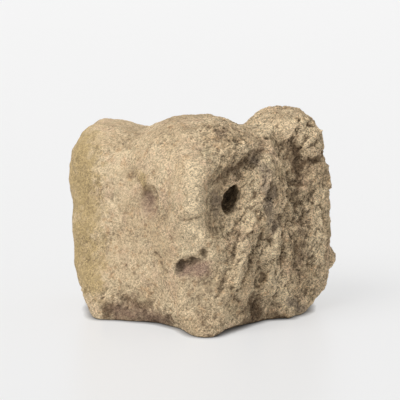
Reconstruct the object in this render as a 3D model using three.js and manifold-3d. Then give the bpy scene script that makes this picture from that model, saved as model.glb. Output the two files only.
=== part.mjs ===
// A weathered stone corbel: one block of coarse sandstone that stood out of a wall. Its front is
// cut as a crude grotesque head between two rounded shoulders, with a wedge-shaped chin.
// Millimetres, +Z up. The origin is the middle of the flat wall face, which lies on the plane
// y = 0. The head looks along -Y, and its own left shoulder is on +X.
import * as THREE from "three";
import { mergeVertices } from "three/addons/utils/BufferGeometryUtils.js";
import Module from "manifold-3d";

// The block: across the shoulders, from underside to crown, and from wall face to chin.
const WIDTH = 290;
const HEIGHT = 228;
const PROJECTION = 225;

// How far the weather has rounded the arrises, and how high the lumps of the surface stand on
// the worn right half of the face and on its broken left half.
const WORN_EDGE = 34;
const WORN_RELIEF = 1.4;
const BROKEN_RELIEF = 3;

// The drilled eye, the shallow eye and the mouth, as cut.
const DRILLED_EYE = { width: 20, tall: 35, deep: 34 };
const SHALLOW_EYE = { width: 31, tall: 34, deep: 7 };
const MOUTH = { width: 37, tall: 24, deep: 7.5 };
const MOUTH_CORNER = { width: 11, tall: 12, deep: 7 };

// The wear under the edge beside the chin: how far it goes in, and how high at its middle.
const WORN_FOOT = { deep: 15, tall: 6.5 };

// The spacing of the points that describe the face of the stone, and its sides.
const FACE_GRAIN = 6.7;
const SIDE_GRAIN = 12;

// How the points find the surface: the share of a gap that is crossed at once, because the forms'
// distances are not exact, and how many times the points are spread over it.
const CAREFUL = 0.6;
const SPREADING = 8;

const wasm = await Module();
wasm.setup();

const UNTURNED = [0, 0, 0];

// A place given in shares: across from the middle, out from the wall face, and up from mid height.
function place(across, out, up) {
  return new THREE.Vector3((across * WIDTH) / 2, -out * PROJECTION, (up * HEIGHT) / 2);
}

// A size given in shares of the block's width, projection and height.
function extent(across, out, up) {
  return new THREE.Vector3(across * WIDTH, out * PROJECTION, up * HEIGHT);
}

// Where a form or a tool stands: its centre, turned by degrees about x, y and z.
function setting(centre, turn) {
  const angles = turn.map(THREE.MathUtils.degToRad);
  const spin = new THREE.Quaternion().setFromEuler(new THREE.Euler(...angles, "ZYX"));
  return new THREE.Matrix4().compose(centre, spin, new THREE.Vector3(1, 1, 1));
}

// Each form below is a function that gives a point's distance from the form, negative inside it.

// A squared mass with worn arrises.
function mass(centre, size, worn, turn = UNTURNED) {
  const toForm = setting(centre, turn).invert();
  const round = Math.min(worn, size.x / 2, size.y / 2, size.z / 2);
  const core = size.clone().multiplyScalar(0.5).subScalar(round);
  const q = new THREE.Vector3();
  return (p) => {
    q.copy(p).applyMatrix4(toForm);
    const x = Math.abs(q.x) - core.x;
    const y = Math.abs(q.y) - core.y;
    const z = Math.abs(q.z) - core.z;
    const outside = Math.hypot(Math.max(x, 0), Math.max(y, 0), Math.max(z, 0));
    return outside + Math.min(Math.max(x, y, z), 0) - round;
  };
}

// An egg-shaped lump, or the hollow that such a lump would fill.
function lump(centre, size, turn = UNTURNED) {
  const toForm = setting(centre, turn).invert();
  const radii = size.clone().multiplyScalar(0.5);
  const smallest = Math.min(radii.x, radii.y, radii.z);
  const q = new THREE.Vector3();
  return (p) => {
    q.copy(p).applyMatrix4(toForm).divide(radii);
    const near = q.length();
    return near < 1e-6 ? -smallest : (near * (near - 1)) / q.divide(radii).length();
  };
}

// A rounded bar that tapers from one end to the other: a ridge, or the groove that it would fill.
function bar(from, to, startRadius, endRadius = startRadius) {
  const along = to.clone().sub(from);
  const q = new THREE.Vector3();
  return (p) => {
    q.copy(p).sub(from);
    const share = THREE.MathUtils.clamp(q.dot(along) / along.lengthSq(), 0, 1);
    return q.addScaledVector(along, -share).length() - THREE.MathUtils.lerp(startRadius, endRadius, share);
  };
}

// Everything on the far side of a plane, which a blow or the weather has taken away.
function beyond(point, out) {
  const normal = out.clone().normalize();
  return (p) => normal.dot(point) - normal.dot(p);
}

// Two forms as one, with the hollow between them filled to the given softness.
function join(a, b, soft) {
  return (p) => {
    const da = a(p);
    const db = b(p);
    const blend = Math.max(soft - Math.abs(da - db), 0) / soft;
    return Math.min(da, db) - (blend * blend * soft) / 4;
  };
}

// The first form with the second taken out of it.
function carve(a, b, soft) {
  const filled = join((p) => -a(p), b, soft);
  return (p) => -filled(p);
}

// Smooth waves from -1 to 1: lumps of a given length that the dressing and the weather left.
function waves(p, length) {
  const k = (2 * Math.PI) / length;
  const a = Math.sin(k * (p.x + 0.6 * p.y) + 1.7 * Math.sin(k * 0.6 * p.z));
  const b = Math.sin(k * (p.z - 0.5 * p.x) + 1.3 * Math.sin(k * 0.7 * p.y + 1));
  const c = Math.sin(k * (p.y + 0.4 * p.z) + 1.5 * Math.sin(k * 0.8 * p.x + 2));
  return (a + b + c) / 3;
}

// The tail that went into the wall, with a shoulder at each side of the head.
function tail() {
  const core = mass(place(0, 0.2, -0.3), extent(0.88, 0.62, 1), WORN_EDGE);
  const right = mass(place(-0.695, 0.27, -0.15), extent(0.29, 0.52, 0.99), WORN_EDGE * 1.1, [0, 0, -10]);
  const left = mass(place(0.66, 0.21, -0.09), extent(0.31, 0.58, 1.045), WORN_EDGE * 1.26, [0, -2, 8]);
  const foot = mass(place(-0.42, 0.4, -0.98), extent(0.42, 0.44, 0.5), WORN_EDGE * 0.5);
  return join(join(join(core, right, 20), left, 16), foot, 24);
}

// The head, cut on the corner of a squared mass that stands cornerwise to the wall.
function head() {
  const corner = mass(place(-0.1, 0.43, -0.32), extent(0.69, 0.67, 1.06), WORN_EDGE * 1.2, [0, 0, -33]);
  const crown = mass(place(-0.04, 0.5, 0.37), extent(0.397, 0.62, 0.562), WORN_EDGE * 1.3);
  const cheek = mass(place(0.42, 0.5, -0.2), extent(0.36, 0.3, 0.86), WORN_EDGE, [0, 0, 40]);
  const chin = bar(place(-0.01, 0.72, -0.3), place(0.02, 0.9, -1.05), 0.15 * WIDTH, 0.066 * WIDTH);
  const nose = lump(place(-0.07, 0.875, 0.27), extent(0.14, 0.2, 0.36), [-9, 0, 0]);
  return join(join(join(join(corner, crown, 24), cheek, 40), chin, 30), nose, 24);
}

// The eye socket, the hollow that the brow overhangs, with its ledge, and the step under the nose.
function carveFace(form) {
  const socket = lump(place(0.245, 0.875, 0.25), extent(0.2, 0.21, 0.39), [0, 18, 14]);
  const ledge = bar(place(0.09, 0.89, 0.38), place(0.43, 0.69, 0.62), 0.028 * WIDTH);
  const underBrow = lump(place(0.28, 0.83, 0.4), extent(0.22, 0.12, 0.26), [0, 30, 30]);
  const nostril = bar(place(-0.12, 1, 0.06), place(0.1, 0.96, 0.06), 0.036 * WIDTH);
  return carve(carve(carve(carve(form, socket, 10), underBrow, 12), ledge, 8), nostril, 9);
}

// The side of the face that has broken away: ribs and hollows that run down it.
function breakSide(form) {
  const rib = bar(place(0.55, 0.6, -0.08), place(0.61, 0.575, -0.6), 0.03 * WIDTH);
  const jawGroove = bar(place(0.29, 0.89, -0.06), place(0.17, 0.95, -0.36), 0.024 * WIDTH);
  const chinGroove = bar(place(0.17, 0.95, -0.36), place(0.14, 0.98, -0.7), 0.024 * WIDTH);
  const cheekHollow = bar(place(0.43, 0.8, -0.22), place(0.47, 0.76, -0.86), 0.036 * WIDTH);
  const shoulderHollow = lump(place(0.74, 0.53, 0.44), extent(0.16, 0.13, 0.44), [0, -8, 0]);
  let broken = join(form, rib, 14);
  for (const hollow of [jawGroove, chinGroove, cheekHollow]) {
    broken = carve(broken, hollow, 10);
  }
  return carve(broken, shoulderHollow, 20);
}

// What has gone from the lower edge: a bed of rough stone under the right cheek, the right side of
// the chin, and a hollow under the left cheek that sets the chin off.
function wearUnderside(form) {
  const rightBed = bar(place(-0.62, 0.76, -1.12), place(-0.28, 0.86, -1.13), 0.1 * WIDTH, 0.07 * WIDTH);
  const chinSide = bar(place(-0.42, 0.76, -1.1), place(-0.165, 1.04, -1.1), 0.09 * WIDTH);
  const leftHollow = mass(place(0.48, 0.84, -1), extent(0.35, 0.22, 0.24), WORN_EDGE * 0.5, [0, 0, 60]);
  return carve(carve(carve(form, rightBed, 18), chinSide, 8), leftHollow, 16);
}

// The four corners and the right flank, worn back, with the dip between the crown and one shoulder,
// and the small knob and the nick on the edge of the other.
function wearCorners(form) {
  const knob = lump(place(0.975, 0.26, -0.52), extent(0.11, 0.14, 0.12));
  const saddle = bar(place(-0.47, 0.02, 0.87), place(-0.46, 0.5, 0.85), 0.028 * WIDTH);
  const flank = lump(place(-1.065, 0.27, -0.2), extent(0.066, 0.6, 0.34));
  const nick = lump(place(1, 0.32, 0.52), extent(0.07, 0.16, 0.06), [0, 20, 0]);
  const lowerRight = beyond(place(-0.955, 0.5, -0.69), extent(-0.4, 0, -0.2));
  const upperRight = beyond(place(-0.955, 0.5, 0.737), extent(-0.4, 0, 0.29));
  const lowerLeft = beyond(place(0.92, 0.5, -0.84), extent(0.4, 0, -0.4));
  const upperLeft = beyond(place(0.972, 0.5, 0.68), extent(0.4, 0, 0.2));
  let worn = form;
  for (const corner of [lowerRight, upperRight, lowerLeft, upperLeft]) {
    worn = carve(worn, corner, 16);
  }
  worn = carve(worn, flank, 14);
  return carve(carve(join(worn, knob, 5), saddle, 8), nick, 6);
}

// The whole form, before the eyes and the mouth are cut into it.
function weathered() {
  const face = breakSide(carveFace(join(tail(), head(), 14)));
  const form = wearCorners(wearUnderside(face));
  return (p) => {
    const broken = THREE.MathUtils.smoothstep(p.x, 0, WIDTH / 4);
    return form(p) - THREE.MathUtils.lerp(WORN_RELIEF, BROKEN_RELIEF, broken) * waves(p, 44);
  };
}

// Where a line that runs straight in from the front meets the form.
function faceOf(form, across, up) {
  const p = place(across, 1.3, up);
  for (let pass = 0; pass < 120; pass += 1) {
    const gap = form(p);
    if (gap < 0.01) break;
    p.y += gap * CAREFUL;
  }
  return p;
}

// Carries a point along a ray, from well outside, to where the form ends.
function carryIn(p, form, heart, ray) {
  let away = PROJECTION * 1.6;
  for (let pass = 0; pass < 160; pass += 1) {
    const gap = form(p.copy(heart).addScaledVector(ray, away));
    if (Math.abs(gap) < 0.01) break;
    away -= gap * CAREFUL;
  }
}

// Lays a point that is near the form on it, by the slope of the form's distance.
function layOn(p, form) {
  const reach = 0.5;
  const slope = new THREE.Vector3();
  const q = new THREE.Vector3();
  for (let pass = 0; pass < 4; pass += 1) {
    for (const axis of ["x", "y", "z"]) {
      q.copy(p)[axis] += reach;
      const ahead = form(q);
      q[axis] -= 2 * reach;
      slope[axis] = (ahead - form(q)) / (2 * reach);
    }
    p.addScaledVector(slope, -form(p) / slope.lengthSq());
  }
}

// The points that share an edge with each point of a net.
function neighboursOf(net) {
  const around = Array.from({ length: net.getAttribute("position").count }, () => new Set());
  const corners = net.index.array;
  for (let i = 0; i < corners.length; i += 3) {
    for (let j = 0; j < 3; j += 1) {
      around[corners[i + j]].add(corners[i + ((j + 1) % 3)]);
      around[corners[i + ((j + 1) % 3)]].add(corners[i + j]);
    }
  }
  return around;
}

// A closed surface found from the stone's heart. Every point of a box-shaped net is carried along
// its own ray to where the form ends, then the points are spread evenly over the form.
function skin(form, heart) {
  const across = Math.round(WIDTH / FACE_GRAIN);
  const out = Math.round(PROJECTION / SIDE_GRAIN);
  const up = Math.round(HEIGHT / FACE_GRAIN);
  const box = new THREE.BoxGeometry(WIDTH, PROJECTION, HEIGHT, across, out, up);
  box.deleteAttribute("normal");
  box.deleteAttribute("uv");
  const net = mergeVertices(box, 0.01);
  const around = neighboursOf(net);
  const attribute = net.getAttribute("position");
  let points = around.map((_, i) => {
    const ray = new THREE.Vector3().fromBufferAttribute(attribute, i).normalize();
    const p = new THREE.Vector3();
    carryIn(p, form, heart, ray);
    return p;
  });
  for (let pass = 0; pass < SPREADING; pass += 1) {
    points = points.map((point, i) => {
      const middle = new THREE.Vector3();
      for (const j of around[i]) middle.add(points[j]);
      middle.divideScalar(around[i].size).lerp(point, 0.4);
      layOn(middle, form);
      return middle;
    });
  }
  points.forEach((point, i) => attribute.setXYZ(i, point.x, point.y, point.z));
  return net;
}

// Closed geometry as a solid that can be joined and cut.
function solid(geometry) {
  const bare = geometry.clone();
  bare.deleteAttribute("normal");
  bare.deleteAttribute("uv");
  const merged = mergeVertices(bare, 1e-4);
  return new wasm.Manifold(
    new wasm.Mesh({
      numProp: 3,
      vertProperties: merged.getAttribute("position").array,
      triVerts: new Uint32Array(merged.index.array),
    }),
  );
}

// A solid as geometry for a mesh.
function geometryOf(shape) {
  const { vertProperties, triVerts } = shape.getMesh();
  const geometry = new THREE.BufferGeometry();
  geometry.setAttribute("position", new THREE.BufferAttribute(vertProperties, 3));
  geometry.setIndex(new THREE.BufferAttribute(triVerts, 1));
  geometry.computeVertexNormals();
  return geometry;
}

// What a gouge takes out: an egg of the given width and height that goes in to the given depth.
function scoop(at, size, turn) {
  const egg = new THREE.SphereGeometry(1, 20, 14);
  egg.scale(size.width / 2, size.deep, size.tall / 2);
  egg.applyMatrix4(setting(at, turn));
  return solid(egg);
}

// What a drill takes out: a tapered oval hole that starts well in front of the face.
function drilled(at, size, turn) {
  const clear = size.deep / 2;
  const hole = new THREE.CylinderGeometry(0.78, 1.06, size.deep + clear, 20);
  hole.translate(0, (size.deep - clear) / 2, 0);
  hole.scale(size.width / 2, 1, size.tall / 2);
  hole.applyMatrix4(setting(at, turn));
  return solid(hole);
}

// What a long wear under an edge takes out: a low egg that lies from one place to the other.
function undercut(from, to, size) {
  const along = to.clone().sub(from);
  const egg = new THREE.SphereGeometry(1, 24, 16);
  egg.scale(along.length() / 2, size.deep, size.tall);
  const turn = THREE.MathUtils.radToDeg(Math.atan2(along.y, along.x));
  egg.applyMatrix4(setting(from.clone().addScaledVector(along, 0.5), [0, 0, turn]));
  return solid(egg);
}

const form = weathered();
const heart = place(0, 0.42, -0.1);

// The wall face and the underside are cut flat.
const keep = new THREE.BoxGeometry(2 * WIDTH, PROJECTION * 1.5, HEIGHT * 1.5);
keep.translate(0, -PROJECTION * 0.75, -HEIGHT / 2 + HEIGHT * 0.75);

const eyeHole = drilled(faceOf(form, 0.225, 0.215), DRILLED_EYE, [0, 22, 14]);
const eyePit = scoop(faceOf(form, -0.385, 0.21), SHALLOW_EYE, [0, 8, -27]);
const mouth = scoop(faceOf(form, -0.06, -0.355), MOUTH, [-28, -10, -30]);
const mouthCorner = scoop(faceOf(form, 0.02, -0.23), MOUTH_CORNER, [0, -35, 0]);
const wornFoot = undercut(place(0.1, 0.97, -1), place(0.68, 0.57, -1), WORN_FOOT);

const stone = solid(skin(form, heart))
  .intersect(solid(keep))
  .subtract(eyeHole)
  .subtract(eyePit)
  .subtract(mouth)
  .subtract(mouthCorner)
  .subtract(wornFoot);

const sandstone = new THREE.MeshStandardMaterial({ color: 0xbfa987, roughness: 0.95, metalness: 0 });
const corbel = new THREE.Mesh(geometryOf(stone), sandstone);
corbel.name = "corbel_stone";

const part = new THREE.Group();
part.add(corbel);
export default part;
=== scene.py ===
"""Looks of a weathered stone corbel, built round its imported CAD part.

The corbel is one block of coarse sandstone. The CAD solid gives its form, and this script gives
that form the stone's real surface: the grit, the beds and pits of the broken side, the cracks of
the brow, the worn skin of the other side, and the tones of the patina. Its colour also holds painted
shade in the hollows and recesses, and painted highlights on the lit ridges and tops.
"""

import logging
import math
from dataclasses import dataclass
from enum import Enum

import bmesh
import bpy
import numpy as np
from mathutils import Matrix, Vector, noise

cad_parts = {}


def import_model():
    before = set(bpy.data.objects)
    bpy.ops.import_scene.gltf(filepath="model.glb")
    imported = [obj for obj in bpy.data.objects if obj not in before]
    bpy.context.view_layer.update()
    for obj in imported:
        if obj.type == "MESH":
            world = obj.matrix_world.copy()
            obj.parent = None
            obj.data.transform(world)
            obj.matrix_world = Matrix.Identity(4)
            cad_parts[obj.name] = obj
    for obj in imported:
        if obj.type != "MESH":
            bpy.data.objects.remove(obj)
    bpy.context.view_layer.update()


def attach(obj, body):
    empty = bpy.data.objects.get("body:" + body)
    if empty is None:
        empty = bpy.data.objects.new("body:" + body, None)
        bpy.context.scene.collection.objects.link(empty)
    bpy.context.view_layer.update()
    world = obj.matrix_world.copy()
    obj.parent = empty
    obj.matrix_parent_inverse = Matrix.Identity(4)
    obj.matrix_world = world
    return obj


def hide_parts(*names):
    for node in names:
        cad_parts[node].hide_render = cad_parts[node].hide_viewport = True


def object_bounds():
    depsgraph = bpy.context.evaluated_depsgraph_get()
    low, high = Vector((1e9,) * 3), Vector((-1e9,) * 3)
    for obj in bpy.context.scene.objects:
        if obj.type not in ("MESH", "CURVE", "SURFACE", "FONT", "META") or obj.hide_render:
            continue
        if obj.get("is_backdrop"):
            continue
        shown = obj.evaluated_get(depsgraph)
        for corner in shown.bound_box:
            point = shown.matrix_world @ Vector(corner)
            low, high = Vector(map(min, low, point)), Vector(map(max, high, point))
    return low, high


log = logging.getLogger("corbel")

MM = 0.001

# How far apart in the noise two seeds lie, in lumps.
SEED_STEP = 31.7
# How strongly each finer layer of the noise is weakened, and how much finer it is.
LAYER_FALL = 1.0
LAYER_STEP = 2.0
# What spreads the middles of the chips so far that each has a tilt of its own.
TILT_SPREAD = 57.0
# How high the chips lie over each other, how steep they are and how wide the steps between them.
CHIP_RISE = 0.5
CHIP_TILT = 1.2
CHIP_STEP = 0.14

# The sockets of a Mix node that mixes colours: three inputs and the output.
MIX_FACTOR = 0
MIX_FIRST = 6
MIX_SECOND = 7
MIX_RESULT = 2


def smoothstep(low: float, high: float, value: np.ndarray) -> np.ndarray:
    """Return 0 below low, 1 above high and a smooth rise between them."""
    share = np.clip((value - low) / (high - low), 0.0, 1.0)
    return share * share * (3.0 - 2.0 * share)


def bump_of(distance: np.ndarray) -> np.ndarray:
    """Return 1 at distance 0, falling smoothly to 0 at distance 1 and beyond."""
    return 1.0 - smoothstep(0.0, 1.0, distance)


@dataclass(frozen=True)
class Grain:
    """Lumps of noise that run through the stone, the same on every run.

    Attributes:
        size: the length of the largest lumps, in metres.
        octaves: how many finer layers are laid over them.
        seed: which part of the noise this grain is taken from.
        length: how many times longer the lumps are along their own direction.
        along: that direction.
    """

    size: float
    octaves: int = 3
    seed: int = 0
    length: float = 1.0
    along: tuple[float, float, float] = (0.0, 0.0, 1.0)

    def placed(self, points: np.ndarray) -> list[Vector]:
        """Return the points in the noise's own scale."""
        direction = np.array(self.along) / np.linalg.norm(self.along)
        shortened = (points @ direction)[:, None] * direction * (1.0 / self.length - 1.0)
        return [Vector(row) for row in (points + shortened) / self.size + SEED_STEP * self.seed]

    def lumps(self, points: np.ndarray) -> np.ndarray:
        """Return smooth lumps and hollows, from about -1 to 1."""
        placed = self.placed(points)
        return np.array([noise.fractal(place, LAYER_FALL, LAYER_STEP, self.octaves) for place in placed])

    def chips(self, points: np.ndarray) -> np.ndarray:
        """Return flat facets, each tilted its own way, with low steps between them."""
        placed = self.placed(points)
        nearest = [noise.voronoi(place) for place in placed]
        gaps = np.array([found[0][:2] for found in nearest])
        pairs = [found[1][:2] for found in nearest]
        centres = np.array([[centre[:] for centre in pair] for pair in pairs])
        tilts = [[noise.cell_vector(centre * TILT_SPREAD)[:] for centre in pair] for pair in pairs]
        tilts = 2.0 * np.array(tilts) - 1.0
        reach = np.array([place[:] for place in placed])[:, None, :] - centres
        heights = CHIP_RISE * tilts[..., 0] + CHIP_TILT * np.einsum("nij,nij->ni", reach, tilts)
        own = 0.5 + 0.5 * smoothstep(0.0, CHIP_STEP, gaps[:, 1] - gaps[:, 0])
        return own * heights[:, 0] + (1.0 - own) * heights[:, 1]


@dataclass(frozen=True)
class Stroke:
    """A place on the front of the stone, seen from straight in front.

    Attributes:
        start: across and up to its first end, in millimetres from the middle.
        end: across and up to its other end. It equals start where the place is round.
        width: the full width of the place, in millimetres.
    """

    start: tuple[float, float]
    end: tuple[float, float]
    width: float

    def nearness(self, front: np.ndarray) -> np.ndarray:
        """Return 1 on the stroke's line, falling smoothly to 0 at its sides.

        Args:
            front: the points' places across and up, in metres.
        """
        start = np.array(self.start) * MM
        along = np.array(self.end) * MM - start
        from_start = front - start
        length = max(float(along @ along), 1e-12)
        share = np.clip(from_start @ along / length, 0.0, 1.0)
        gap = np.linalg.norm(from_start - share[:, None] * along, axis=1)
        return bump_of(gap / (self.width * MM / 2.0))


@dataclass(frozen=True)
class Mark(Stroke):
    """What a blow, a chisel or the weather has left at one place.

    Attributes:
        depth: how far it goes in, in millimetres. It is negative where a lump stands out.
    """

    depth: float = 1.0


class Tint(Enum):
    """The tones that lie on the stone in places of their own, some of them painted shade and painted
    highlights.
    """

    PINK = "pink"
    # Dirt, and painted shade in the recesses, under the brow and the nose, in the undercut and along the
    # foot.
    GRIME_AND_SHADE = "grime"
    # A greyer film, and painted shade beside the nose, under the brow and in the valleys.
    SLATE_AND_SHADE = "slate"
    # Painted shade in the drilled eye and in the shadowed corners of the mouth.
    DEEP_SHADE = "soot"
    OLIVE = "olive"
    # Painted highlights on the lit nose, cheek, ribs, rims and tops.
    PAINTED_HIGHLIGHT = "pale"


@dataclass(frozen=True)
class Stain(Stroke):
    """A tone that lies over one place.

    Attributes:
        tint: which tone it is.
        strength: how much of it there is in the middle, from 0 to 1.
    """

    tint: Tint = Tint.GRIME_AND_SHADE
    strength: float = 1.0


# The drilled eye, the shallow eye and the mouth, and the knob on the right edge.
CUT_PLACES = (
    Stroke((36.0, 38.0), (31.0, 14.0), 36.0),
    Stroke((-56.0, 32.0), (-56.0, 16.0), 46.0),
    Stroke((-24.0, -41.0), (4.0, -34.0), 46.0),
)
KNOB_PLACE = Stroke((148.0, -59.0), (154.0, -59.0), 44.0)

MARKS = (
    Mark((-48.0, -34.0), (-45.0, -37.0), 9.0, 2.6),
    Mark((-42.0, -43.0), (-39.0, -51.0), 9.0, 3.0),
    Mark((-32.0, -8.0), (-31.0, -16.0), 6.0, 1.4),
    Mark((-20.0, 10.0), (4.0, 14.0), 7.0, 1.8),
    Mark((-21.0, 101.0), (-5.0, 103.0), 7.0, 1.2),
    Mark((5.0, 104.0), (27.0, 101.0), 7.0, 1.5),
    Mark((46.0, 94.0), (60.0, 88.0), 7.0, 1.3),
    Mark((-72.0, 47.0), (-60.0, 36.0), 17.0, 1.8),
    Mark((66.0, -60.0), (66.0, -66.0), 9.0, 4.0),
    Mark((100.0, 78.0), (106.0, 52.0), 20.0, 3.5),
    Mark((96.0, -74.0), (104.0, -96.0), 18.0, 2.0),
    Mark((-24.0, -42.0), (-9.0, -36.0), 12.0, 3.4),
    Mark((-60.0, 27.0), (-58.0, 14.0), 26.0, 1.7),
    Mark((24.0, 48.0), (60.0, 70.0), 13.0, -1.7),
    Mark((42.0, -10.0), (34.0, -28.0), 11.0, 2.6),
    Mark((34.0, -28.0), (20.0, -68.0), 12.0, 2.8),
    Mark((58.0, -28.0), (48.0, -52.0), 9.0, 2.4),
    Mark((48.0, -52.0), (36.0, -78.0), 9.0, 2.6),
    Mark((50.0, -20.0), (36.0, -60.0), 9.0, -1.8),
    Mark((62.0, -46.0), (58.0, -92.0), 16.0, 3.0),
    Mark((82.0, -14.0), (72.0, -62.0), 16.0, -3.4),
    Mark((94.0, 10.0), (88.0, -74.0), 12.0, 3.2),
    Mark((122.0, 57.0), (150.0, 61.0), 11.0, 6.0),
)

# Where the tones lie. The grime, slate and deep-shade strokes are partly or wholly painted shade, and
# the highlight strokes are painted highlights.
STAINS = (
    Stain((-58.0, 24.0), (-55.0, 12.0), 30.0, Tint.PINK, 0.65),
    Stain((-61.0, 32.0), (-56.0, 26.0), 20.0, Tint.GRIME_AND_SHADE, 0.6),
    Stain((-50.0, -36.0), (-46.0, -38.0), 10.0, Tint.GRIME_AND_SHADE, 0.35),
    Stain((-41.0, -45.0), (-37.0, -52.0), 10.0, Tint.GRIME_AND_SHADE, 0.4),
    Stain((-80.0, -90.0), (-60.0, -98.0), 42.0, Tint.GRIME_AND_SHADE, 0.6),
    Stain((-19.0, -46.0), (4.0, -43.0), 24.0, Tint.PINK, 0.9),
    Stain((-90.0, -103.0), (-44.0, -110.0), 38.0, Tint.PINK, 0.5),
    Stain((-64.0, 48.0), (-60.0, 36.0), 22.0, Tint.OLIVE, 0.6),
    Stain((-134.0, 80.0), (-126.0, -70.0), 90.0, Tint.OLIVE, 0.8),
    Stain((-99.0, -106.0), (-40.0, -109.0), 50.0, Tint.GRIME_AND_SHADE, 0.76),
    Stain((54.0, -88.0), (62.0, -110.0), 40.0, Tint.GRIME_AND_SHADE, 0.75),
    Stain((112.0, 56.0), (142.0, 60.0), 13.0, Tint.GRIME_AND_SHADE, 0.7),
    Stain((46.0, -108.0), (90.0, -110.0), 16.0, Tint.GRIME_AND_SHADE, 0.6),
    Stain((94.0, -114.0), (16.0, -115.0), 15.0, Tint.GRIME_AND_SHADE, 1.1),
    Stain((102.0, 74.0), (107.0, 46.0), 34.0, Tint.GRIME_AND_SHADE, 0.7),
    Stain((107.0, 40.0), (104.0, -50.0), 48.0, Tint.GRIME_AND_SHADE, 0.47),
    Stain((62.0, -28.0), (64.0, -90.0), 16.0, Tint.GRIME_AND_SHADE, 0.35),
    Stain((16.0, 44.0), (16.0, 12.0), 24.0, Tint.GRIME_AND_SHADE, 0.5),
    Stain((35.0, 29.0), (33.0, 17.0), 20.0, Tint.DEEP_SHADE, 0.45),
    Stain((-25.0, -45.0), (-20.0, -37.0), 11.0, Tint.DEEP_SHADE, 0.6),
    Stain((-19.0, -36.0), (-1.0, -33.0), 9.0, Tint.DEEP_SHADE, 0.55),
    Stain((3.0, -22.0), (5.0, -31.0), 9.0, Tint.DEEP_SHADE, 0.5),
    Stain((68.0, 54.0), (78.0, -10.0), 26.0, Tint.SLATE_AND_SHADE, 0.66),
    Stain((54.0, 68.0), (66.0, 58.0), 24.0, Tint.SLATE_AND_SHADE, 0.65),
    Stain((13.0, 42.0), (17.0, 8.0), 20.0, Tint.SLATE_AND_SHADE, 0.5),
    Stain((98.0, -94.0), (110.0, -108.0), 26.0, Tint.SLATE_AND_SHADE, 0.6),
    Stain((122.0, -98.0), (136.0, -78.0), 16.0, Tint.SLATE_AND_SHADE, 0.5),
    Stain((13.0, 46.0), (62.0, 72.0), 24.0, Tint.GRIME_AND_SHADE, 0.62),
    Stain((0.0, 6.0), (12.0, -4.0), 14.0, Tint.GRIME_AND_SHADE, 0.3),
    Stain((-20.0, 97.0), (-6.0, 99.0), 7.0, Tint.GRIME_AND_SHADE, 0.35),
    Stain((6.0, 100.0), (27.0, 97.0), 7.0, Tint.GRIME_AND_SHADE, 0.5),
    Stain((0.0, -60.0), (6.0, -108.0), 80.0, Tint.GRIME_AND_SHADE, 0.42),
    Stain((46.0, -16.0), (38.0, -72.0), 20.0, Tint.PAINTED_HIGHLIGHT, 0.6),
    Stain((82.0, -14.0), (74.0, -66.0), 20.0, Tint.PAINTED_HIGHLIGHT, 0.85),
    Stain((84.0, -62.0), (92.0, -94.0), 46.0, Tint.PAINTED_HIGHLIGHT, 0.8),
    Stain((132.0, 26.0), (126.0, -50.0), 26.0, Tint.PAINTED_HIGHLIGHT, 0.65),
    Stain((62.0, 96.0), (94.0, 94.0), 40.0, Tint.PAINTED_HIGHLIGHT, 0.6),
    Stain((56.0, 44.0), (50.0, 0.0), 26.0, Tint.PAINTED_HIGHLIGHT, 0.95),
    Stain((-8.0, 60.0), (-6.0, 0.0), 44.0, Tint.PAINTED_HIGHLIGHT, 0.9),
    Stain((-110.0, 90.0), (-80.0, 90.0), 50.0, Tint.PAINTED_HIGHLIGHT, 0.4),
)


@dataclass
class Surface:
    """The points of a closed mesh, and which of them are joined by an edge."""

    points: np.ndarray
    edges: np.ndarray

    @classmethod
    def of(cls, mesh: bpy.types.Mesh) -> "Surface":
        """Read the points and edges of a mesh."""
        points = np.empty(len(mesh.vertices) * 3)
        mesh.vertices.foreach_get("co", points)
        edges = np.empty(len(mesh.edges) * 2, dtype=np.int32)
        mesh.edges.foreach_get("vertices", edges)
        return cls(points.reshape(-1, 3), edges.reshape(-1, 2))

    def spread(self, values: np.ndarray, times: int, weights: np.ndarray | float = 1.0) -> np.ndarray:
        """Average each value with its neighbours' values.

        Args:
            values: one row for each point.
            times: how often the averaging is repeated.
            weights: how much each point takes part, from 0 to 1, as a column or one number.

        Returns:
            The smoothed values.
        """
        first, second = self.edges.T
        count = len(self.points)
        joined = np.bincount(first, minlength=count) + np.bincount(second, minlength=count)
        result = values.copy()
        for _ in range(times):
            total = np.stack(
                [
                    np.bincount(first, column[second], count) + np.bincount(second, column[first], count)
                    for column in result.T
                ],
                axis=1,
            )
            result += 0.5 * weights * (total / joined[:, None] - result)
        return result

    def hollows(self, normals: np.ndarray, times: int) -> np.ndarray:
        """Return how deep each point lies under the surface round it, in metres."""
        return np.einsum("ij,ij->i", self.spread(self.points, times) - self.points, normals)


def normals_of(mesh: bpy.types.Mesh) -> np.ndarray:
    """Return the outward normal of each point of a mesh."""
    normals = np.empty(len(mesh.vertices) * 3)
    mesh.vertices.foreach_get("normal", normals)
    return normals.reshape(-1, 3)


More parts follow.
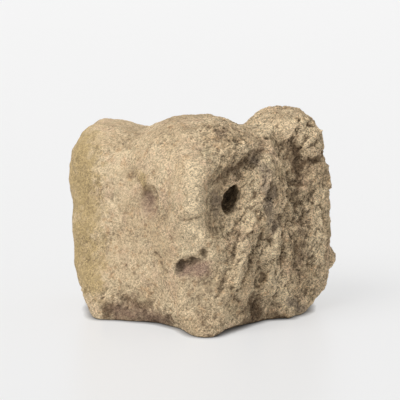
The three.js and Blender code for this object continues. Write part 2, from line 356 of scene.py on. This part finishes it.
@dataclass
class CarvedStone:
    """The corbel's one piece, with the real surface of the stone.

    Attributes:
        node: the CAD node that it stands for.
        slot: the name of the material slot of its finish; not used.
        voxel: the spacing of its points on the carved front, in metres.
        triangles: how many triangles it has.
        rounding: how often the facets of the solid are smoothed.
        crispness: how much less they are smoothed where the stone is cut crisply.
        thinning: how much sooner the hidden sides lose points than the shown ones.
        broken_from: where the worn side of the face starts to turn into the broken one, along X.
        broken_to: where the face is wholly broken, along X.
        bedding: the direction in which the broken stone's beds and ribs run.
        bed_depth: how far its beds rise and sink, in millimetres.
        scale_depth: how far its large scales do, in millimetres.
        flake_depth: how far its small flakes do, in millimetres.
        face_front: what lies in front of this is the face, along Y.
    """

    node: str = "corbel_stone"
    slot: str = "sandstone"
    voxel: float = 1.45 * MM
    triangles: int = 190_000
    rounding: int = 22
    crispness: float = 0.62
    thinning: float = 40.0
    broken_from: float = -8.0 * MM
    broken_to: float = 52.0 * MM
    bedding: tuple[float, float, float] = (0.55, -0.2, 0.8)
    bed_depth: float = 2.6
    scale_depth: float = 3.0
    flake_depth: float = 2.0
    face_front: float = -100.0 * MM

    def build(self) -> bpy.types.Object:
        """Make the piece from the CAD node's form."""
        piece = self.copy_of_form()
        self.thin_hidden_sides(piece)
        self.weather(piece.data)
        self.mark_tones(piece.data)
        piece.data.shade_smooth()
        return piece

    def copy_of_form(self) -> bpy.types.Object:
        """Return a closed copy of the CAD node's mesh with evenly spaced points."""
        work = bmesh.new()
        work.from_mesh(bpy.data.objects[self.node].data)
        bmesh.ops.remove_doubles(work, verts=work.verts, dist=0.01 * MM)
        mesh = bpy.data.meshes.new("carved_stone")
        work.to_mesh(mesh)
        work.free()
        mesh.materials.clear()
        piece = bpy.data.objects.new("carved_stone", mesh)
        bpy.context.scene.collection.objects.link(piece)
        remesh = piece.modifiers.new("even", "REMESH")
        remesh.mode = "VOXEL"
        remesh.voxel_size = self.voxel
        self.apply_modifiers(piece)
        surface = Surface.of(piece.data)
        loose = 1.0 - self.crispness * self.crisp_share(surface.points)
        self.move(piece.data, surface.spread(surface.points, self.rounding, loose[:, None]))
        return piece

    @staticmethod
    def apply_modifiers(piece: bpy.types.Object) -> None:
        """Make what the modifiers of a piece give its own mesh."""
        graph = bpy.context.evaluated_depsgraph_get()
        result = bpy.data.meshes.new_from_object(piece.evaluated_get(graph))
        piece.modifiers.clear()
        piece.data = result

    def crisp_share(self, points: np.ndarray) -> np.ndarray:
        """Return 1 where edges stay crisp, at the eyes, mouth, knob and foot, and 0 elsewhere."""
        front = points[:, [0, 2]]
        near = np.max([place.nearness(front) for place in CUT_PLACES], axis=0)
        cut = smoothstep(0.1, 0.6, near) * (points[:, 1] < self.face_front)
        knob = smoothstep(0.1, 0.6, KNOB_PLACE.nearness(front))
        foot = 1.0 - smoothstep(4.0 * MM, 9.0 * MM, points[:, 2] - points[:, 2].min())
        return np.maximum.reduce([cut, knob, foot])

    def thin_hidden_sides(self, piece: bpy.types.Object) -> None:
        """Leave fewer points on the sides that the photograph hides, which are plainer."""
        mesh = piece.data
        points = Surface.of(mesh).points
        normals = normals_of(mesh)
        faces_front = normals[:, 1] < -0.15
        faces_up = normals[:, 2] > 0.8
        clear_of_wall = points[:, 1] < -30.0 * MM
        shown = (faces_front | faces_up) & clear_of_wall
        group = piece.vertex_groups.new(name="plain")
        group.add(np.flatnonzero(~shown).tolist(), 1.0, "REPLACE")
        thin = piece.modifiers.new("thin", "DECIMATE")
        thin.vertex_group = group.name
        thin.vertex_group_factor = self.thinning
        mesh.calc_loop_triangles()
        thin.ratio = self.triangles / len(mesh.loop_triangles)
        self.apply_modifiers(piece)
        piece.vertex_groups.clear()

    @staticmethod
    def move(mesh: bpy.types.Mesh, points: np.ndarray) -> None:
        """Put the points of a mesh at new places."""
        mesh.vertices.foreach_set("co", points.astype(np.float32).ravel())
        mesh.update()

    def broken_share(self, points: np.ndarray) -> np.ndarray:
        """Return 0 where the face is worn smooth, and 1 where it has broken away."""
        across = points[:, 0]
        up = points[:, 2]
        slant = across + 0.16 * up + 12.0 * MM * Grain(30 * MM, 3, seed=4).lumps(points)
        side = smoothstep(self.broken_from, self.broken_to, slant)
        underside = smoothstep(-80 * MM, -102 * MM, up + 0.1 * across)
        return np.maximum(side, 0.6 * underside)

    @staticmethod
    def wandering(points: np.ndarray) -> np.ndarray:
        """Return the points' places across and up, shifted a little so that no mark runs straight."""
        shift = [Grain(11 * MM, 4, seed=seed).lumps(points) for seed in (6, 7)]
        return points[:, [0, 2]] + 4.0 * MM * np.stack(shift, axis=1)

    def weather(self, mesh: bpy.types.Mesh) -> None:
        """Move the points of the mesh to the stone's real surface."""
        points = Surface.of(mesh).points
        normals = normals_of(mesh)
        broken = self.broken_share(points)
        height = points[:, 2] - points[:, 2].min()
        rough = broken * (0.75 + 0.5 * Grain(38 * MM, 2, seed=8).lumps(points))
        rough = (0.14 + 0.86 * rough) * (0.55 + 0.45 * smoothstep(0.0, 0.5, -normals[:, 1]))
        rough *= 0.4 + 0.6 * smoothstep(4.0 * MM, 24.0 * MM, height)
        beds = Grain(15 * MM, 4, seed=2, length=2.4, along=self.bedding)
        scales = Grain(12 * MM, 1, seed=9, length=3.2, along=self.bedding)
        flakes = Grain(5.5 * MM, 1, seed=13, length=2.4, along=self.bedding)
        shaken = points + 1.6 * MM * np.stack(
            [Grain(5 * MM, 2, seed=seed).lumps(points) for seed in (10, 11, 12)], axis=1
        )
        push = (1.3 - 0.8 * self.crisp_share(points)) * MM * Grain(26 * MM, 3, seed=1).lumps(points)
        push += rough * self.bed_depth * MM * beds.lumps(points)
        push += self.scale_depth * rough * MM * scales.chips(shaken)
        push += (0.2 + self.flake_depth * rough) * MM * flakes.chips(shaken)
        push += (0.35 + 0.3 * broken) * MM * Grain(6.5 * MM, 3, seed=3).lumps(points)
        push += (0.4 + 0.25 * broken) * MM * Grain(3.2 * MM, 2, seed=5).lumps(points)
        front = self.wandering(points)
        facing = np.clip(-normals[:, 1] * 1.6 + 0.2, 0.0, 1.0)
        for mark in MARKS:
            push -= facing * mark.depth * MM * mark.nearness(front)
        push *= 1.0 - self.cut_faces(points)
        self.move(mesh, points + push[:, None] * normals)

    @staticmethod
    def cut_faces(points: np.ndarray) -> np.ndarray:
        """Return 1 on the flat wall face and underside, which keep their planes, and 0 elsewhere."""
        lowest = points[:, 2].min()
        wall = 1.0 - smoothstep(0.2 * MM, 3.0 * MM, -points[:, 1])
        under = 1.0 - smoothstep(0.2 * MM, 3.0 * MM, points[:, 2] - lowest)
        return np.maximum(wall, under)

    def mark_tones(self, mesh: bpy.types.Mesh) -> None:
        """Store where the stone is hollow, broken or stained, and where painted shade and highlights
        lie, for its finish to read.
        """
        surface = Surface.of(mesh)
        normals = normals_of(mesh)
        points = surface.points
        fine = surface.hollows(normals, 8) / (0.6 * MM)
        broad = surface.hollows(normals, 90) / (1.8 * MM)
        tones = {
            "hollow": 0.5 + 0.22 * fine + 0.3 * broad,
            "broken": self.broken_share(points),
        }
        front = self.wandering(points)
        facing = np.clip(-normals[:, 1] * 2.0 + 0.6, 0.0, 1.0) * (points[:, 1] < -20.0 * MM)
        for tint in Tint:
            laid = [stain.strength * stain.nearness(front) for stain in STAINS if stain.tint is tint]
            tones[tint.value] = facing * np.max(laid, axis=0)
        for name, values in tones.items():
            attribute = mesh.attributes.new(name, "FLOAT", "POINT")
            attribute.data.foreach_set("value", np.clip(values, 0.0, 1.0).astype(np.float32))


Input = "Socket | bpy.types.NodeSocket | float | tuple[float, ...]"


@dataclass
class Socket:
    """A number or colour on its way through the shader. Numbers take part in arithmetic.

    Attributes:
        finish: the finish whose nodes make it.
        source: the output that gives it, or None for the node that ends the material.
    """

    finish: "Finish"
    source: bpy.types.NodeSocket | None

    def _math(self, operation: str, first: Input, second: Input) -> "Socket":
        """Add a Math node on two values."""
        return self.finish.node("ShaderNodeMath", {"operation": operation}, {0: first, 1: second})

    def __add__(self, other: Input) -> "Socket":
        """Return the sum."""
        return self._math("ADD", self, other)

    __radd__ = __add__

    def __sub__(self, other: Input) -> "Socket":
        """Return the difference."""
        return self._math("SUBTRACT", self, other)

    def __rsub__(self, other: Input) -> "Socket":
        """Return the reflected difference."""
        return self._math("SUBTRACT", other, self)

    def __mul__(self, other: Input) -> "Socket":
        """Return the product."""
        return self._math("MULTIPLY", self, other)

    __rmul__ = __mul__

    def __pow__(self, other: Input) -> "Socket":
        """Return the power."""
        return self._math("POWER", self, other)

    def clamped(self) -> "Socket":
        """Return the value held between 0 and 1."""
        return self.finish.node("ShaderNodeClamp", {}, {"Value": self})


class Finish:
    """One material and the nodes that make it."""

    def __init__(self, name: str) -> None:
        """Start an empty material with its output and its shader."""
        self.material = bpy.data.materials.new(name)
        self.material.use_nodes = True
        self.tree = self.material.node_tree
        self.tree.nodes.clear()

    def node(self, kind: str, settings: dict, inputs: dict, output: str | int = 0) -> Socket:
        """Add a node.

        Args:
            kind: the node's type.
            settings: what is set on the node before its sockets are.
            inputs: a value or a link for each named or numbered socket.
            output: the name or number of the output that is wanted.

        Returns:
            The wanted output.
        """
        made = self.tree.nodes.new(kind)
        for name, value in settings.items():
            setattr(made, name, value)
        for name, value in inputs.items():
            self.feed(made.inputs[name], value)
        return Socket(self, made.outputs[output] if made.outputs else None)

    def feed(self, socket: bpy.types.NodeSocket, value: Input) -> None:
        """Link a value to a socket, or set the socket to it."""
        if isinstance(value, Socket):
            self.tree.links.new(value.source, socket)
        else:
            socket.default_value = value

    def blend(self, factor: Input, first: Input, second: Input) -> Socket:
        """Mix two colours by a factor."""
        inputs = {MIX_FACTOR: factor, MIX_FIRST: first, MIX_SECOND: second}
        return self.node("ShaderNodeMix", {"data_type": "RGBA"}, inputs, MIX_RESULT)

    def ramp(self, value: Input, low: float, high: float) -> Socket:
        """Return 0 below low, 1 above high and a smooth rise between them."""
        settings = {"interpolation_type": "SMOOTHSTEP"}
        inputs = {"Value": value, "From Min": low, "From Max": high}
        return self.node("ShaderNodeMapRange", settings, inputs)

    def attribute(self, name: str) -> Socket:
        """Return a value that the mesh holds for each point."""
        return self.node("ShaderNodeAttribute", {"attribute_name": name}, {}, "Fac")


def tone(red: int, green: int, blue: int) -> tuple[float, float, float, float]:
    """Return a colour given in screen values, as the shader takes it."""
    shares = [value / 255.0 for value in (red, green, blue)]
    linear = [s / 12.92 if s <= 0.04045 else ((s + 0.055) / 1.055) ** 2.4 for s in shares]
    return (linear[0], linear[1], linear[2], 1.0)


@dataclass(frozen=True)
class Sandstone:
    """The finish of coarse weathered sandstone.

    Attributes:
        buff: the worn skin of the stone.
        pale: the lightest grains, and the colour of the painted highlights on the nose, the cheek, the
            ribs and the tops.
        ochre: the stained side of the stone.
        brown: the dirt in the hollows with the painted shade there, and the dirt on the broken side.
        dark: the darkest grains, and the painted shade at the bottoms of the pits.
        warm: the skin where it is a little redder.
        lichen: the skin where it is a little greener.
        rosy: the bare stone on the floors of the shallow eye and the mouth.
        grime: the dark dirt of the sheltered places, and the painted shade in the recesses, under the
            brow and the nose, in the undercut, in the creases and along the foot.
        rust: the iron in the stone, where it shows in spots.
        slate: the greyer film over the steps of the broken side, also laid as painted shade beside the
            nose, under the brow and in the valley right of the eye.
        soot: the darkest tone, painted shade in the drilled eye and in the shadowed corners of the
            mouth.
        slant: how steeply the fine lines of the stone rise to its left, in degrees.
        stretch: how many times longer than wide those lines are.
        lines: how many of them a metre holds.
        fine_grains: how many of the finest grains of the tone a metre holds.
        large_grains: how many of its larger grains a metre holds.
        pits: how many of the places where a dark grain may lie a metre holds.
        raised_grains: how many of the grains that stand out a metre holds.
        relief: how far the grit stands out.
    """

    buff: tuple[int, int, int] = (190, 167, 134)
    pale: tuple[int, int, int] = (215, 194, 160)
    ochre: tuple[int, int, int] = (178, 155, 113)
    brown: tuple[int, int, int] = (133, 114, 90)
    dark: tuple[int, int, int] = (78, 64, 48)
    warm: tuple[int, int, int] = (196, 167, 138)
    lichen: tuple[int, int, int] = (184, 170, 137)
    rosy: tuple[int, int, int] = (154, 128, 110)
    # Dirt and painted shade.
    grime: tuple[int, int, int] = (112, 92, 70)
    rust: tuple[int, int, int] = (176, 140, 103)
    # The greyer film, also used as painted shade.
    slate: tuple[int, int, int] = (148, 131, 111)
    # The colour of the deepest painted shade.
    soot: tuple[int, int, int] = (64, 54, 42)
    slant: float = 40.0
    stretch: float = 3.6
    lines: float = 420.0
    fine_grains: float = 820.0
    large_grains: float = 420.0
    pits: float = 390.0
    raised_grains: float = 700.0
    relief: float = 2.2 * MM

    def material(self) -> bpy.types.Material:
        """Make the material."""
        finish = Finish("weathered_sandstone")
        place = finish.node("ShaderNodeTexCoord", {}, {}, "Object")
        hollow = finish.attribute("hollow")
        broken = finish.attribute("broken")

        def grit(scale: float, detail: float = 2.0) -> Socket:
            """Return noise with lumps of one part in scale of a metre."""
            inputs = {"Vector": place, "Scale": scale, "Detail": detail, "Roughness": 0.6}
            return finish.node("ShaderNodeTexNoise", {}, inputs, "Fac")

        def grains(scale: float) -> Socket:
            """Return a value of its own for each grain."""
            cells = finish.node("ShaderNodeTexVoronoi", {}, {"Vector": place, "Scale": scale}, "Color")
            return finish.node("ShaderNodeSeparateColor", {}, {"Color": cells}, "Red")

        def streaks(scale: float) -> Socket:
            """Return noise drawn out along the stone's own slanting lines."""
            turn = (0.0, -math.radians(self.slant), 0.0)
            inputs = {"Vector": place, "Rotation": turn, "Scale": (self.stretch, 1.0, 1.0)}
            slanted = finish.node("ShaderNodeMapping", {"vector_type": "TEXTURE"}, inputs)
            inputs = {"Vector": slanted, "Scale": scale, "Detail": 3.0, "Roughness": 0.65}
            return finish.node("ShaderNodeTexNoise", {}, inputs, "Fac")

        mottle = grit(110.0, 4.0)

        def patchy(name: str) -> Socket:
            """Return how much of a stain shows, with ragged edges."""
            return finish.ramp(finish.attribute(name) + 1.4 * (mottle - 0.5), 0.15, 0.85)

        patches = finish.ramp(grit(24.0, 3.0), 0.35, 0.68)
        colour = finish.blend(patches, tone(*self.buff), tone(*self.pale))
        colour = finish.blend(0.6 * finish.ramp(grit(46.0, 4.0), 0.48, 0.7), colour, tone(*self.warm))
        colour = finish.blend(0.4 * finish.ramp(grit(62.0, 4.0), 0.52, 0.7), colour, tone(*self.lichen))
        colour = finish.blend(0.5 * finish.ramp(grit(140.0, 3.0), 0.53, 0.68), colour, tone(*self.rust))
        # Painted highlights: paler on the nose, the cheek, the ribs and the tops, where the light falls.
        colour = finish.blend(patchy("pale"), colour, tone(*self.pale))
        colour = finish.blend(patchy("olive"), colour, tone(*self.ochre))
        # Dirt and painted shade: darker in the hollows, and dirt in patches on the broken side.
        dirt_and_shade = 0.7 * finish.ramp(hollow, 0.5, 1.0) + 0.35 * broken * finish.ramp(mottle, 0.4, 0.7)
        colour = finish.blend(dirt_and_shade.clamped(), colour, tone(*self.brown))
        # Grime and painted shade: darker in the recesses, under the brow and the nose, and along the
        # foot.
        colour = finish.blend(patchy("grime"), colour, tone(*self.grime))
        # Greyer film and painted shade beside the nose and under the brow.
        colour = finish.blend(patchy("slate"), colour, tone(*self.slate))
        colour = finish.blend(finish.attribute("pink"), colour, tone(*self.rosy))
        # Painted shade in the drilled eye and the mouth's corners.
        colour = finish.blend(finish.attribute("soot"), colour, tone(*self.soot))
        lines = streaks(self.lines)
        across = finish.node("ShaderNodeSeparateXYZ", {}, {"Vector": place}, "X")
        worn = finish.ramp(across, -90.0 * MM, 10.0 * MM)
        coarse = 0.55 + 0.3 * worn + 0.25 * finish.ramp(grit(30.0, 3.0), 0.4, 0.62) + 0.4 * broken
        speckle = 0.9 * (grains(self.fine_grains) - 0.5) + 0.2 * (grains(self.large_grains) - 0.5)
        speckle += 1.2 * (lines - 0.5)
        # Brighter on the broken side, and brighter still on the painted highlights.
        light = 1.03 + 0.12 * broken + 0.12 * finish.attribute("pale") + coarse * speckle
        # Painted shade in the hollows and painted highlights on the raised parts of the broken side.
        light += 0.3 * broken * (0.5 - hollow)
        colour = finish.node("ShaderNodeVectorMath", {"operation": "SCALE"}, {0: colour, "Scale": light})
        # Dark grains, laid only where the stone is hollow: painted shade at the bottoms of the pits.
        deep = finish.ramp(grains(self.pits) + 0.35 * hollow, 1.08, 1.25)
        colour = finish.blend(0.45 * deep, colour, tone(*self.dark))
        height = coarse * (0.6 * grit(900.0) + 0.5 * grains(self.raised_grains) + 1.2 * lines)
        inputs = {"Height": height, "Distance": self.relief, "Strength": 1.0}
        normal = finish.node("ShaderNodeBump", {}, inputs, "Normal")
        inputs = {
            "Base Color": colour,
            "Roughness": 0.88 + 0.1 * grit(200.0),
            "Specular IOR Level": 0.25,
            "Normal": normal,
        }
        shader = finish.node("ShaderNodeBsdfPrincipled", {}, inputs, "BSDF")
        finish.node("ShaderNodeOutputMaterial", {}, {"Surface": shader})
        return finish.material


@dataclass
class Studio:
    """The pale floor, the soft light and the camera.

    Attributes:
        distance: from the camera to the point it looks at, in metres.
        elevation: how far above the horizon the camera stands, in degrees.
        target: the point that it looks at.
        lens: its focal length in millimetres, for Blender's 36 mm sensor.
        floor_reach: how far the floor goes each way, in metres.
        floor_tone: how much light the floor gives back.
        floor_gloss: how strongly it mirrors.
        floor_glow: how much light of its own the floor gives, which keeps its shadows faint.
        shelter: how near to the stone the floor's own light fades, in metres.
        shelter_fall: how fast it fades there. At 1 it fades as the open share of the sky does.
        sky: the strength of the even light all round.
        key: the strength of the soft light from the upper left.
        key_spread: how wide the key light's source is, in degrees.
        key_side: the direction in which it stands.
    """

    distance: float = 1.9
    elevation: float = 9.0
    target: tuple[float, float, float] = (-1.1 * MM, -105.0 * MM, 14.0 * MM)
    lens: float = 155.4
    floor_reach: float = 40.0
    floor_tone: float = 0.26
    floor_gloss: float = 0.12
    floor_glow: float = 0.53
    shelter: float = 9.0 * MM
    shelter_fall: float = 1.6
    sky: float = 0.66
    key: float = 2.1
    key_spread: float = 45.0
    key_side: tuple[float, float, float] = (-0.55, -0.5, 0.75)

    def build(self) -> None:
        """Make the floor, the lights and the camera."""
        self.floor()
        self.lights()
        self.camera()
        bpy.context.scene.view_settings.view_transform = "Standard"

    def floor(self) -> None:
        """Make a wide floor at the height of the stone's underside."""
        low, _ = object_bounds()
        work = bmesh.new()
        bmesh.ops.create_grid(work, x_segments=1, y_segments=1, size=self.floor_reach)
        bmesh.ops.translate(work, verts=work.verts, vec=(0.0, 0.0, low.z))
        mesh = bpy.data.meshes.new("floor")
        work.to_mesh(mesh)
        work.free()
        finish = Finish("pale_floor")
        pale = (self.floor_tone, self.floor_tone, self.floor_tone, 1.0)
        sheltered = finish.node("ShaderNodeAmbientOcclusion", {}, {"Distance": self.shelter}, "AO")
        inputs = {
            "Base Color": pale,
            "Roughness": 0.35,
            "Specular IOR Level": self.floor_gloss,
            "Emission Color": sheltered**self.shelter_fall,
            "Emission Strength": self.floor_glow,
        }
        shader = finish.node("ShaderNodeBsdfPrincipled", {}, inputs, "BSDF")
        finish.node("ShaderNodeOutputMaterial", {}, {"Surface": shader})
        mesh.materials.append(finish.material)
        floor = bpy.data.objects.new("floor", mesh)
        bpy.context.scene.collection.objects.link(floor)
        floor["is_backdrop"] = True

    def lights(self) -> None:
        """Make the even light all round and the soft key light."""
        world = bpy.data.worlds.new("studio")
        world.use_nodes = True
        background = world.node_tree.nodes["Background"]
        background.inputs["Color"].default_value = (1.0, 1.0, 1.0, 1.0)
        background.inputs["Strength"].default_value = self.sky
        bpy.context.scene.world = world
        key = bpy.data.lights.new("key", "SUN")
        key.energy = self.key
        key.angle = math.radians(self.key_spread)
        lamp = bpy.data.objects.new("key", key)
        lamp.rotation_mode = "QUATERNION"
        lamp.rotation_quaternion = Vector(self.key_side).to_track_quat("Z", "Y")
        bpy.context.scene.collection.objects.link(lamp)

    def camera(self) -> None:
        """Make the camera at the photograph's angle."""
        angle = math.radians(self.elevation)
        back = Vector((0.0, -math.cos(angle), math.sin(angle)))
        data = bpy.data.cameras.new("camera")
        data.lens = self.lens
        camera = bpy.data.objects.new("camera", data)
        camera.location = Vector(self.target) + back * self.distance
        camera.rotation_mode = "QUATERNION"
        camera.rotation_quaternion = back.to_track_quat("Z", "Y")
        bpy.context.scene.collection.objects.link(camera)
        bpy.context.scene.camera = camera


def main() -> None:
    """Build the stone and the studio round it."""
    logging.basicConfig(level=logging.INFO, format="%(name)s: %(message)s")
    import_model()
    Studio().build()
    stone = CarvedStone()
    piece = stone.build()
    piece.data.materials.append(Sandstone().material())
    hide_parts(stone.node)
    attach(piece, "root")
    log.info("%s: %d points, %d faces", piece.name, len(piece.data.vertices), len(piece.data.polygons))


if __name__ == "__main__":
    main()
